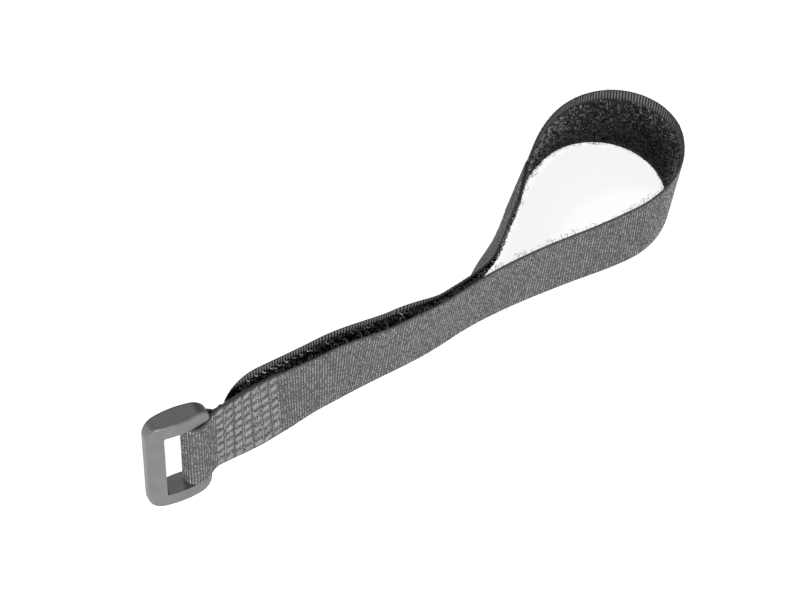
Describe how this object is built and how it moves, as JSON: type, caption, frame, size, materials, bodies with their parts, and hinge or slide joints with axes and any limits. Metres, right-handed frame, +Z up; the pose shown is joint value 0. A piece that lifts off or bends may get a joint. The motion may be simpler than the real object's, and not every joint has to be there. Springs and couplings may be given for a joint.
{
  "type": "battery strap",
  "caption": "Hook-and-loop battery strap standing on its edge, folded back into a teardrop loop, with a moulded rectangular ring that swings on the folded end.",
  "frame": {"origin": "on the floor, under the middle of the whole object's box", "axes": "+X along the straight side, away from the ring; +Z up, across the width of the tape; the loop bulges towards +Y"},
  "size_m": [0.1592, 0.04, 0.0285],
  "materials": {
    "ring": "satin moulded plastic",
    "loop_tape": "fine knitted back, dark loop pile inside",
    "hook_tape": "fine woven back, dark hooks inside"
  },
  "bodies": {
    "strap": {"loop_tape": "loop_tape", "hook_tape": "hook_tape"},
    "ring": {"ring": "ring"}
  },
  "joints": [
    {"name": "ring_swing", "type": "hinge", "parent": "strap", "child": "ring", "pos_m": [-0.0674, -0.01273, 0.01425], "axis": [0, 0, 1], "range_deg": [-135, 160]}
  ]
}
